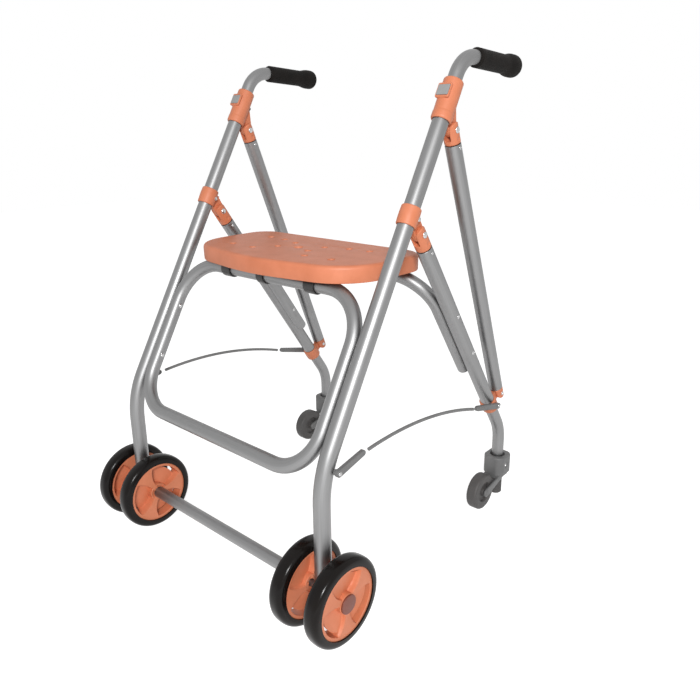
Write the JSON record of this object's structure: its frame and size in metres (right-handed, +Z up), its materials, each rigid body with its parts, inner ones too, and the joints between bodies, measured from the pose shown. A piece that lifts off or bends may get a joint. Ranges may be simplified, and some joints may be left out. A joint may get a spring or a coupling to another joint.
{
  "type": "folding walking frame with seat",
  "caption": "Folding wheeled walking frame: tubular side frames, tip-up moulded seat, twin front wheels, small rear wheels with pressure brakes and height-adjustable foam-gripped handles.",
  "frame": {"origin": "on the floor, at the centre of the bounding box's footprint", "axes": "+Z up, +X to the user's left, -Y forward, towards the twin front wheels"},
  "size_m": [0.6252, 0.6482, 0.9102],
  "materials": {
    "tube": "satin, drawn tube",
    "steel": "satin",
    "orange_plastic": "fine moulded grain",
    "cap": "moulded",
    "grip_foam": "closed-cell foam",
    "tyre": "smooth tread",
    "grey_plastic": "moulded",
    "grey_rubber": "matt",
    "stay_cable": "coated rod",
    "button": "smooth",
    "black_plastic": "moulded"
  },
  "bodies": {
    "front_frame": {"front_loop": "tube", "axle": "steel", "left_leg_tube": "tube", "left_mid_clamp": "orange_plastic", "left_leg_pivot_pin": "steel", "left_stay_front_block": "grey_plastic", "left_stay_rod": "stay_cable", "right_leg_tube": "tube", "right_mid_clamp": "orange_plastic", "right_leg_pivot_pin": "steel", "right_stay_front_block": "grey_plastic", "right_stay_rod": "stay_cable"},
    "rear_frame": {"rear_hoop": "tube", "left_rear_leg_fork": "orange_plastic", "left_rear_leg_tube": "tube", "left_lower_clamp": "orange_plastic", "left_rear_stem": "tube", "left_brake_foot": "grey_rubber", "left_stay_rear_block": "grey_plastic", "right_rear_leg_fork": "orange_plastic", "right_rear_leg_tube": "tube", "right_lower_clamp": "orange_plastic", "right_rear_stem": "tube", "right_brake_foot": "grey_rubber", "right_stay_rear_block": "grey_plastic"},
    "left_collar": {"left_upper_collar": "orange_plastic", "left_strut_top_pin": "steel"},
    "left_latch": {"left_latch_button": "button"},
    "left_handle": {"left_handle_tube": "tube", "left_grip": "grip_foam"},
    "left_strut": {"left_strut_top_fork": "orange_plastic", "left_strut_tube": "tube", "left_strut_lower_end": "orange_plastic"},
    "left_outer_front_wheel": {"left_outer_tyre": "tyre", "left_outer_hub": "orange_plastic", "left_hub_cap": "cap"},
    "left_inner_front_wheel": {"left_inner_tyre": "tyre", "left_inner_hub": "orange_plastic"},
    "left_brake": {"left_brake_housing": "grey_plastic", "left_wheel_fork": "grey_plastic"},
    "left_roller": {"left_rear_wheel": "grey_rubber"},
    "right_collar": {"right_upper_collar": "orange_plastic", "right_strut_top_pin": "steel"},
    "right_latch": {"right_latch_button": "button"},
    "right_handle": {"right_handle_tube": "tube", "right_grip": "grip_foam"},
    "right_strut": {"right_strut_top_fork": "orange_plastic", "right_strut_tube": "tube", "right_strut_lower_end": "orange_plastic"},
    "right_outer_front_wheel": {"right_outer_tyre": "tyre", "right_outer_hub": "orange_plastic", "right_hub_cap": "cap"},
    "right_inner_front_wheel": {"right_inner_tyre": "tyre", "right_inner_hub": "orange_plastic"},
    "right_brake": {"right_brake_housing": "grey_plastic", "right_wheel_fork": "grey_plastic"},
    "right_roller": {"right_rear_wheel": "grey_rubber"},
    "seat": {"seat_panel": "orange_plastic", "left_seat_clip": "black_plastic", "right_seat_clip": "black_plastic"}
  },
  "joints": [
    {"name": "fold", "type": "hinge", "parent": "front_frame", "child": "rear_frame", "pos_m": [0, -0.01139, 0.61641], "axis": [-1, 0, 0], "range_deg": [0, 41], "deforming": ["left_stay_rod", "right_stay_rod"]},
    {"name": "seat_tip", "type": "hinge", "parent": "front_frame", "child": "seat", "pos_m": [0, -0.10533, 0.52754], "axis": [1, 0, 0], "range_deg": [0, 65]},
    {"name": "left_collar_slide", "type": "slide", "parent": "front_frame", "child": "left_collar", "axis": [0, -0.4924, -0.8704], "range_m": [0, 0.0762]},
    {"name": "left_strut_swing", "type": "hinge", "parent": "left_collar", "child": "left_strut", "pos_m": [0.258, 0.07321, 0.77812], "axis": [-1, 0, 0], "range_deg": [0, 28.3]},
    {"name": "left_latch_press", "type": "slide", "parent": "left_collar", "child": "left_latch", "axis": [0, 0.8704, -0.4924], "range_m": [0, 0.0015], "stiffness_N_per_m": 600, "springref_m": -0.003},
    {"name": "left_handle_height", "type": "slide", "parent": "front_frame", "child": "left_handle", "axis": [0, 0.4924, 0.8704], "range_m": [0, 0.1]},
    {"name": "left_outer_wheel_spin", "type": "hinge", "parent": "front_frame", "child": "left_outer_front_wheel", "pos_m": [0.2963, -0.24911, 0.075], "axis": [1, 0, 0], "continuous": true},
    {"name": "left_inner_wheel_spin", "type": "hinge", "parent": "front_frame", "child": "left_inner_front_wheel", "pos_m": [0.2197, -0.24911, 0.075], "axis": [1, 0, 0], "continuous": true},
    {"name": "left_brake_press", "type": "slide", "parent": "rear_frame", "child": "left_brake", "axis": [0, 0, 1], "range_m": [0, 0.01], "stiffness_N_per_m": 6000, "springref_m": -0.01},
    {"name": "left_rear_wheel_spin", "type": "hinge", "parent": "left_brake", "child": "left_roller", "pos_m": [0.258, 0.23141, 0.038], "axis": [1, 0, 0], "continuous": true},
    {"name": "right_collar_slide", "type": "slide", "parent": "front_frame", "child": "right_collar", "axis": [0, -0.4924, -0.8704], "range_m": [0, 0.0762]},
    {"name": "right_strut_swing", "type": "hinge", "parent": "right_collar", "child": "right_strut", "pos_m": [-0.258, 0.07321, 0.77812], "axis": [-1, 0, 0], "range_deg": [0, 28.3]},
    {"name": "right_latch_press", "type": "slide", "parent": "right_collar", "child": "right_latch", "axis": [0, 0.8704, -0.4924], "range_m": [0, 0.0015], "stiffness_N_per_m": 600, "springref_m": -0.003},
    {"name": "right_handle_height", "type": "slide", "parent": "front_frame", "child": "right_handle", "axis": [0, 0.4924, 0.8704], "range_m": [0, 0.1]},
    {"name": "right_outer_wheel_spin", "type": "hinge", "parent": "front_frame", "child": "right_outer_front_wheel", "pos_m": [-0.2963, -0.24911, 0.075], "axis": [1, 0, 0], "continuous": true},
    {"name": "right_inner_wheel_spin", "type": "hinge", "parent": "front_frame", "child": "right_inner_front_wheel", "pos_m": [-0.2197, -0.24911, 0.075], "axis": [1, 0, 0], "continuous": true},
    {"name": "right_brake_press", "type": "slide", "parent": "rear_frame", "child": "right_brake", "axis": [0, 0, 1], "range_m": [0, 0.01], "stiffness_N_per_m": 6000, "springref_m": -0.01},
    {"name": "right_rear_wheel_spin", "type": "hinge", "parent": "right_brake", "child": "right_roller", "pos_m": [-0.258, 0.23141, 0.038], "axis": [1, 0, 0], "continuous": true}
  ],
  "couplings": [
    {"joint": "left_collar_slide", "follows": "fold", "m_per_rad": 0.10632},
    {"joint": "left_strut_swing", "follows": "fold", "ratio": 0.68803},
    {"joint": "right_collar_slide", "follows": "fold", "m_per_rad": 0.10632},
    {"joint": "right_strut_swing", "follows": "fold", "ratio": 0.68803}
  ]
}
